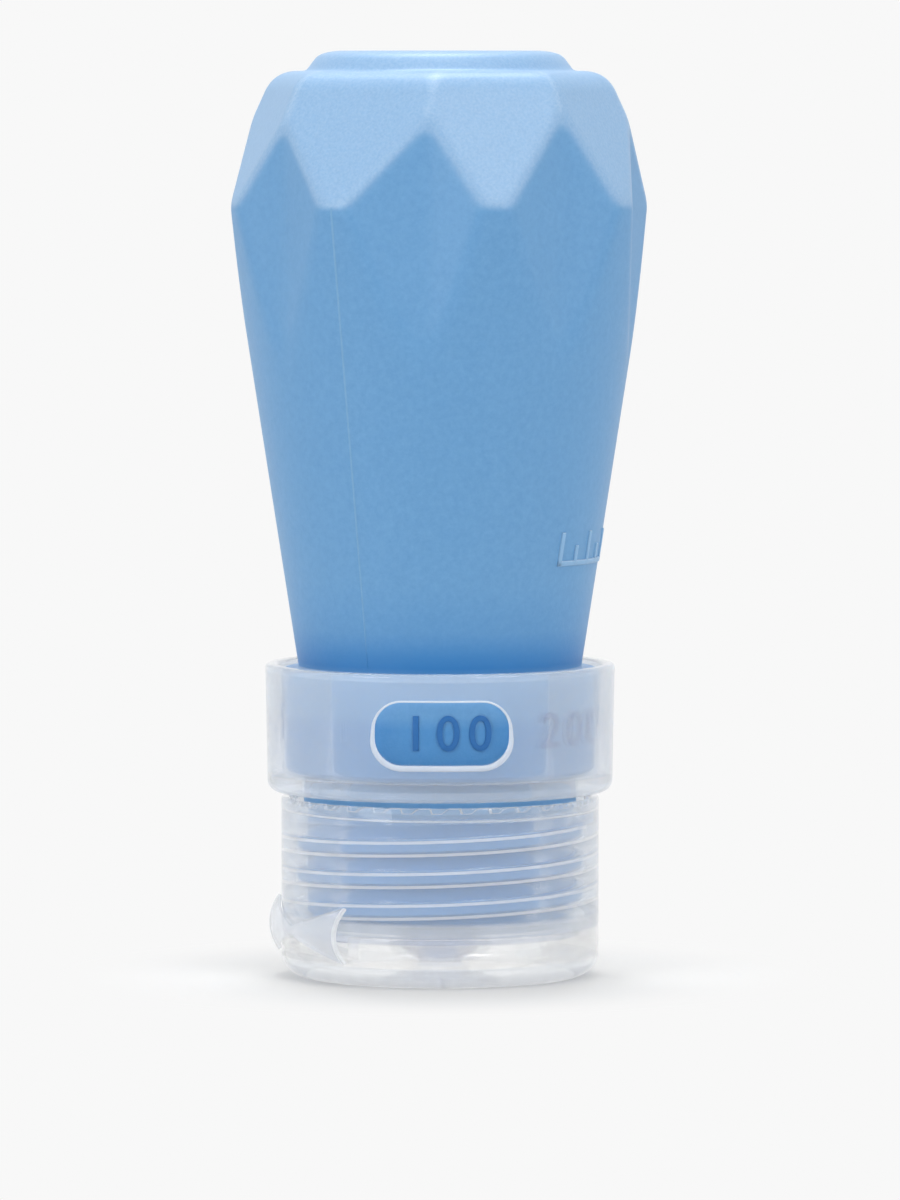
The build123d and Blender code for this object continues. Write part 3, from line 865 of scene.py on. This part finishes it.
capShape = {
    "columns": 224,
    "corners": [
        (2.7, 2.3, 0.12), (3.5, 2.3, 0.2), (3.78, 2.5, 0), (4.3, 2.9, 0), (4.85, 3.35, 0), (5.25, 3.85, 0),
        (5.55, 4.5, 0), (5.75, 5.2, 0.25), (17.75, 5.2, 0.3), (17.75, 6.4, 0.12), (19.9, 6.4, 0.22), (19.9, 8.2, 0),
        (19.9, 22.5, 0.3), (18.55, 22.5, 0.2), (18.55, 20.95, 0.1), (18.12, 20.82, 0), (18.12, 20.6, 0),
        (18.2, 20.55, 0), (18.2, 7.5, 0.3), (16.6, 7.5, 0.12), (16.6, 6.5, 0.12), (4.5, 6.5, 0.12), (4.5, 5.2, 0),
        (2.7, 3.3, 0),
    ],
    "outerRadius": 19.9, "base": 6.4, "rim": 22.5,
    "teeth": 32, "toothTop": 2.7, "toothBottom": 1.3, "toothHeight": 0.83, "toothSlant": 0.2, "toothDraft": 0.26,
    "toothFrom": 17.0, "toothMiddle": 18.5, "toothReach": 18.95, "toothEdge": 0.17, "toothDome": 0.05,
    "scoopWidth": 11.0, "scoopHeight": 2.6, "scoopDepth": 0.9, "scoopAzimuth": 114.0,
    # rings and levels of the faces that get a finish of their own
    "flankRing": (18.06, 18.18), "flankLow": 8.2, "flankHigh": 19.4,
    "stepRing": (18.1, 18.14), "stepLow": 20.58, "rimRing": (18.15, 18.75), "rimLow": 22.25, "rimTilt": (0.2, 0.98),
    "toothRing": (18.52, 18.99), "toothLow": 21.5,
    "deckRadius": 17.9, "deckHigh": 6.6, "cornerRadius": 19, "cornerHigh": 8.2,
    "flankTilt": 0.8, "endTilt": 0.9, "endNear": 0.02, "sideTilt": 0.95,
}

capThread = {
    **anyThread, "base": 18.2, "depth": -1.3, "level": 7.03, "turns": 3.4, "stepsPerTurn": 96,
    "rootWidth": 1.92, "crestWidth": 1.88, "sink": 0.5, "crestRound": 0.1, "lean": -0.05, "fillet": 0.37,
    "filletHeight": 0.08, "bottomLevel": 6.6, "topLevel": 20.45,
}


def placeAt(azimuth, level):  # x across, y up, z outward at the azimuth
    turn = math.radians(azimuth)
    out = Vector((math.sin(turn), -math.cos(turn), 0))
    across = Vector((math.cos(turn), math.sin(turn), 0))
    m = Matrix((across, (0, 0, 1), out)).transposed().to_4x4()
    m.translation = (0, 0, level * mm)
    return m


def within(value, span):
    return span[0] < value < span[1]


def toothCutter():  # pockets that leave the teeth of the rim, each steeper on one flank and narrower in the wall
    s = capShape
    pockets = bmesh.new()
    half = s["toothTop"] / 2
    left = -half + (s["toothTop"] - s["toothBottom"]) * s["toothSlant"]
    outline = [
        (-half, 0), (left, -s["toothHeight"]), (left + s["toothBottom"], -s["toothHeight"]), (half, 0),
        (half, 1.0), (-half, 1.0),
    ]
    for k in range(s["teeth"]):
        place = placeAt(k * 360 / s["teeth"], s["rim"])
        near = [pockets.verts.new(place @ Vector((x * mm, y * mm, s["toothFrom"] * mm))) for x, y in outline]
        face = pockets.faces.new(near)
        for reach, draft in ((s["toothMiddle"], 0), (s["toothReach"], s["toothDraft"])):
            made = bmesh.ops.extrude_face_region(pockets, geom=[face])
            face = next(g for g in made["geom"] if isinstance(g, bmesh.types.BMFace))
            here = place.inverted() @ face.calc_center_median()
            bmesh.ops.translate(pockets, vec=place.to_3x3() @ Vector((0, 0, reach * mm - here.z)), verts=face.verts)
            shrink = Matrix.Diagonal((1 - draft * 2 / s["toothTop"], 1 - draft / s["toothHeight"] / 2, 1, 1))
            bmesh.ops.transform(pockets, matrix=place @ shrink @ place.inverted(), verts=face.verts)
        bmesh.ops.recalc_face_normals(pockets, faces=pockets.faces)
        bmesh.ops.inset_individual(pockets, faces=[face], thickness=s["toothEdge"] * mm, use_even_offset=True)
        bmesh.ops.translate(pockets, vec=place.to_3x3() @ Vector((0, 0, s["toothDome"] * mm)), verts=face.verts)
    return toObject("tooth_cutter", pockets)


def scoopCutter():  # roller that leaves the thumb scoop
    s = capShape
    radius = (s["scoopHeight"] ** 2 + s["scoopDepth"] ** 2) / (2 * s["scoopDepth"])
    out = Matrix.Translation((0, 0, (s["outerRadius"] - s["scoopDepth"] + radius) * mm))
    roller = bmesh.new()
    bmesh.ops.create_cone(
        roller, cap_ends=True, segments=96, radius1=radius * mm, radius2=radius * mm, depth=s["scoopWidth"] * mm,
        matrix=placeAt(s["scoopAzimuth"], s["base"]) @ out @ Matrix.Rotation(math.pi / 2, 4, "Y"),
    )
    return toObject("scoop_cutter", roller)


def buildCap():
    s = capShape
    cap = toObject("screw_cap_shell", spinOutline(roundedOutline(s["corners"]), s["columns"], True))
    combine(cap, helixRidge("cap_thread", capThread), "UNION")
    combine(cap, toothCutter())
    combine(cap, scoopCutter())
    finishPiece(
        cap, "screw_cap", [wallPlastic, flankPlastic, deckPlastic, ringPlastic], ["screw_cap"], 40,
    )
    step = 360 / s["teeth"]
    for face in cap.data.polygons:  # painted highlight: thread flanks, rim edges and tooth edges get the milky edge finish, for the white lines that show through the wall
        x, y, z = face.center / mm
        r = math.hypot(x, y)
        out = (face.normal.x * x + face.normal.y * y) / r
        azimuth = math.degrees(math.atan2(x, -y))
        winding = z - capThread["pitch"] * azimuth / 360  # the level that this turn has at the front
        flank = within(r, s["flankRing"]) and abs(out) > s["flankTilt"]
        flank = flank and z > s["flankLow"] and winding < s["flankHigh"]
        stepLine = within(r, s["stepRing"]) and z > s["stepLow"]
        rimLine = within(r, s["rimRing"]) and z > s["rimLow"] and within(face.normal.z, s["rimTilt"])
        reach = r * math.cos(math.radians(azimuth - round(azimuth / step) * step))
        toothEnd = abs(reach - s["toothReach"]) < s["endNear"] and abs(out) > s["endTilt"]
        toothSide = within(r, s["toothRing"]) and abs(out) < s["sideTilt"]
        if flank or stepLine or rimLine or z > s["toothLow"] and (toothEnd or toothSide):
            face.material_index = 1
        elif r < s["deckRadius"] and z < s["deckHigh"]:
            face.material_index = 2
        elif r > s["cornerRadius"] and z < s["cornerHigh"]:
            face.material_index = 3


buildCap()
print("cap made")


# the flip lid

lidShape = {
    "columns": 224,
    "corners": [
        (0.0, 4.7, 0), (2.05, 4.7, 0.3), (2.6, 2.6, 0.2), (2.6, 1.7, 0.1), (2.9, 1.2, 0.15), (18.4, 1.2, 2.9),
        (18.4, 6.3, 0.2), (19.9, 6.3, 0.22), (19.9, 0.0, 4.4), (0.0, 0.0, 0),
    ],
    "markRadius": 1.95, "markDepth": 0.15, "markOffset": 7.0, "markAzimuth": -55.0, "floor": 1.2,
    # rings and levels of the faces that get a finish of their own
    "plugRadius": 3.1, "plugLift": 0.02, "innerRadius": 18.6, "innerLow": 1.0, "cornerRadius": 15, "cornerHigh": 2.6,
}

hingeShape = {
    "azimuth": -66.0, "halfAngle": 31.0, "waistAngle": 1.5, "endHalf": 3.3, "waistHalf": 0.42, "bulge": 1.0,
    "hollow": 0.9, "film": 0.45, "standoff": 0.05, "seam": 6.4, "radius": 19.9, "columns": 64, "rows": 24,
    "blendReach": 1.1, "lipFrom": 0.945, "lipRise": 0.12, "notchInset": 0.35, "notchFrom": 9, "notchDepth": 16,
}


def buildLid():
    s, h = lidShape, hingeShape
    lid = toObject("flip_lid_shell", spinOutline(roundedOutline(s["corners"]), s["columns"], False))
    marks = bmesh.new()  # the two ejector marks
    for azimuth in (s["markAzimuth"], s["markAzimuth"] + 180):
        place = Matrix.Translation(around(s["markOffset"], azimuth, s["floor"]) * mm)
        bmesh.ops.create_cone(
            marks, cap_ends=True, segments=64, radius1=s["markRadius"] * mm, radius2=s["markRadius"] * mm,
            depth=2 * s["markDepth"] * mm, matrix=place,
        )
    combine(lid, toObject("mark_cutter", marks))
    notches = bmesh.new()  # room in the lid's edge for the wings of the hinge
    waist = h["radius"] * math.sin(math.radians(2 * h["waistAngle"]))
    end = h["radius"] * math.sin(math.radians(h["halfAngle"]))
    drop = h["endHalf"] - h["notchInset"]
    place = placeAt(h["azimuth"], h["seam"])
    for side in (-1, 1):
        outline = [(side * waist, 0), (side * end, -drop), (side * end, 1), (side * waist, 1)]
        near = [notches.verts.new(place @ Vector((x * mm, y * mm, h["notchFrom"] * mm))) for x, y in outline]
        extrude(notches, [notches.faces.new(near)], place.to_3x3() @ Vector((0, 0, h["notchDepth"] * mm)))
    combine(lid, toObject("notch_cutter", notches))
    finishPiece(
        lid, "flip_lid", [lidPlastic, deckPlastic, ringPlastic, clearPlastic], ["flip_lid"], 40,
    )
    for face in lid.data.polygons:
        x, y, z = face.center / mm
        r = math.hypot(x, y)
        if r < s["plugRadius"] and z > s["floor"] + s["plugLift"]:
            face.material_index = 1
        elif r < s["innerRadius"] and z > s["innerLow"]:
            face.material_index = 3
        elif r > s["cornerRadius"] and z < s["cornerHigh"]:
            face.material_index = 2


buildLid()
print("lid made")


def buildHinge():
    # bow-tie film: wings bow outward, the waist is the line it folds on
    s = hingeShape
    bm = bmesh.new()
    bmesh.ops.create_grid(bm, x_segments=s["columns"], y_segments=s["rows"], size=1.0)
    lip = bm.verts.layers.int.new("lip")
    for v in bm.verts:
        across, up = v.co.x, v.co.y  # each from -1 to 1
        reach = abs(across)
        v[lip] = reach > s["lipFrom"]
        half = s["waistHalf"] + reach * (s["endHalf"] - s["waistHalf"])
        hollow = s["hollow"] * (1 - up * up) * reach ** 3 / s["radius"]
        angle = math.copysign(math.radians(s["halfAngle"]) * reach - hollow, across)
        bow = s["bulge"] * reach * (1 - up * up)
        radius = s["radius"] + s["standoff"] + bow + (s["lipRise"] if reach > s["lipFrom"] else 0)
        v.co = around(radius, s["azimuth"] + math.degrees(angle), s["seam"] + up * half) * mm
    bmesh.ops.recalc_face_normals(bm, faces=bm.faces)
    outward = around(1, s["azimuth"], 0)
    if sum((f.normal.dot(outward) for f in bm.faces)) < 0:
        bmesh.ops.reverse_faces(bm, faces=bm.faces)
    bmesh.ops.solidify(bm, geom=bm.faces[:], thickness=-s["film"] * mm)
    for face in bm.faces:  # the free edges of the wings, which are thicker, get the bead's milkier finish
        face.material_index = int(all(v[lip] for v in face.verts))
    obj = toObject("hinge_film", bm)
    finishPiece(obj, None, [filmPlastic, beadPlastic], ["butterfly_hinge"], 50)
    reach = Vector((0, 0, s["blendReach"] * mm))
    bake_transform(obj)


buildHinge()

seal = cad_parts["valve_disc"]
seal.data.materials.clear()
seal.data.materials.append(sealRubber)
print("hinge and seal made")


# stage, light and camera

stage = {
    "floorColour": "#F8F8F8",
    "floorSize": 3.0,
    "paperColour": "#E6E5E3",
    "glowFrom": 0.02,
    "glowTo": 0.048,
    "worldLight": 0.5,
    "worldColour": "#F4F7FA",
    "openFrom": 0.45,  # glossy surfaces see the dim open front of the studio
    "openTo": 0.95,
    "openLight": 0.3,
    "aimLevel": 0.07,  # the middle of the bottle, where the lamps point
    "lampDistance": 1.0,
    "lightBounces": 32,  # many thin clear walls lie behind one another
}


def mirrored(tree, rays, direction):  # strength of the white surroundings, less in glossy rays towards the front
    s = stage
    across = addNode(tree, "SeparateXYZ", links={"Vector": direction}).outputs["Y"]
    front = addNode(
        tree, "MapRange",
        {
            "interpolation_type": "SMOOTHSTEP", "From Min": -s["openFrom"], "From Max": -s["openTo"],
            "To Min": 1.0, "To Max": s["openLight"],
        },
        {"Value": across},
    )
    less = addNode(tree, "Math", {"operation": "SUBTRACT", 1: 1.0}, {0: front.outputs["Result"]})
    return addNode(
        tree, "Math", {"operation": "MULTIPLY_ADD", 2: 1.0},
        {0: rays.outputs["Is Glossy Ray"], 1: less.outputs[0]},
    ).outputs[0]


def whiteShare(tree, rays, direct):  # the given rays, and glossy and transmission rays
    glossy = addNode(tree, "Math", {"operation": "MAXIMUM"}, {0: direct, 1: rays.outputs["Is Glossy Ray"]})
    return addNode(
        tree, "Math", {"operation": "MAXIMUM"},
        {0: glossy.outputs[0], 1: rays.outputs["Is Transmission Ray"]},
    ).outputs[0]


def buildFloor():
    s = stage
    bm = bmesh.new()
    bmesh.ops.create_grid(bm, x_segments=1, y_segments=1, size=s["floorSize"])
    floor = toObject("floor", bm, False)
    material, tree = newMaterial("matt_white_floor")
    rays = addNode(tree, "LightPath")
    where = addNode(tree, "TexCoord").outputs["Object"]
    away = addNode(tree, "VectorMath", {"operation": "LENGTH"}, {0: where})
    fade = addNode(  # the paper with its shadow near the bottle, plain white further out
        tree, "MapRange",
        {"interpolation_type": "SMOOTHSTEP", "From Min": s["glowFrom"], "From Max": s["glowTo"]},
        {"Value": away.outputs["Value"]},
    )
    direct = addNode(
        tree, "Math", {"operation": "MULTIPLY"},
        {0: rays.outputs["Is Camera Ray"], 1: fade.outputs["Result"]},
    )
    paper = addNode(tree, "BsdfDiffuse", {"Color": toLinear(s["paperColour"])})
    offset = addNode(tree, "VectorMath", {"operation": "SUBTRACT", 1: (0, 0, s["aimLevel"])}, {0: where})
    direction = addNode(tree, "VectorMath", {"operation": "NORMALIZE"}, {0: offset.outputs[0]})
    glow = addNode(
        tree, "Emission", {"Color": toLinear(s["floorColour"])},
        {"Strength": mirrored(tree, rays, direction.outputs[0])},
    )
    both = addNode(
        tree, "MixShader",
        links={0: whiteShare(tree, rays, direct.outputs[0]), 1: paper.outputs[0], 2: glow.outputs[0]},
    )
    addNode(tree, "OutputMaterial", links={"Surface": both.outputs[0]})
    floor.data.materials.append(material)


def buildWorld():
    s = stage
    world = bpy.data.worlds.new("studio")
    bpy.context.scene.world = world
    world.use_nodes = True
    tree = world.node_tree
    tree.nodes.clear()
    rays = addNode(tree, "LightPath")
    light = addNode(tree, "Background", {"Color": toLinear(s["worldColour"]), "Strength": s["worldLight"]})
    direction = addNode(tree, "TexCoord").outputs["Generated"]
    white = addNode(
        tree, "Background", {"Color": toLinear(s["floorColour"])},
        {"Strength": mirrored(tree, rays, direction)},
    )
    share = whiteShare(tree, rays, rays.outputs["Is Camera Ray"])
    both = addNode(tree, "MixShader", links={0: share, 1: light.outputs[0], 2: white.outputs[0]})
    addNode(tree, "OutputWorld", links={"Surface": both.outputs[0]})


lamps = {  # azimuth from the front and elevation in degrees, width and height in metres, power in watts
    "left_softbox": (-48, 22, 0.45, 0.4, 2.9),
    "front_softbox": (40, 34, 0.5, 0.4, 3.1),
    "right_softbox": (100, 34, 0.5, 0.4, 0.25),
    "top_softbox": (0, 80, 0.6, 0.5, 2.05),
    "back_softbox": (-175, 66, 0.45, 0.35, 4.9),
    "left_strip": (-98, 8, 0.3, 0.7, 0.2),
}


def buildLamps():
    distance, aim = stage["lampDistance"], stage["aimLevel"]
    for name, (azimuth, elevation, width, height, power) in lamps.items():
        data = bpy.data.lights.new(name, "AREA")
        data.shape = "RECTANGLE"
        data.size, data.size_y, data.energy = width, height, power
        lamp = newObject(name, data)
        rise = math.radians(elevation)
        place = around(distance * math.cos(rise), azimuth, aim + distance * math.sin(rise))
        lamp.location = place
        lamp.rotation_euler = (Vector((0, 0, aim)) - place).to_track_quat("-Z", "Y").to_euler()


view = {
    "place": (0.00125, -1.0625, 0.1135),
    "aimLevel": 0.04705,
    "focalPixels": 8500,
    "imageHeight": 1200,
    "sensor": 36,
    "clip": (0.05, 20),
}


def buildCamera():
    s = view
    data = bpy.data.cameras.new("photo_camera")
    data.sensor_width = s["sensor"]
    data.lens = s["focalPixels"] / s["imageHeight"] * s["sensor"]
    data.clip_start, data.clip_end = s["clip"]
    camera = newObject("photo_camera", data)
    camera.location = s["place"]
    aim = Vector((s["place"][0], 0, s["aimLevel"]))
    camera.rotation_euler = (aim - Vector(s["place"])).to_track_quat("-Z", "Y").to_euler()
    bpy.context.scene.camera = camera


buildFloor()
buildWorld()
buildLamps()
buildCamera()
bpy.context.scene.view_settings.view_transform = "Standard"
cycles = bpy.context.scene.cycles
cycles.max_bounces = cycles.transmission_bounces = cycles.transparent_max_bounces = stage["lightBounces"]
print("stage made")
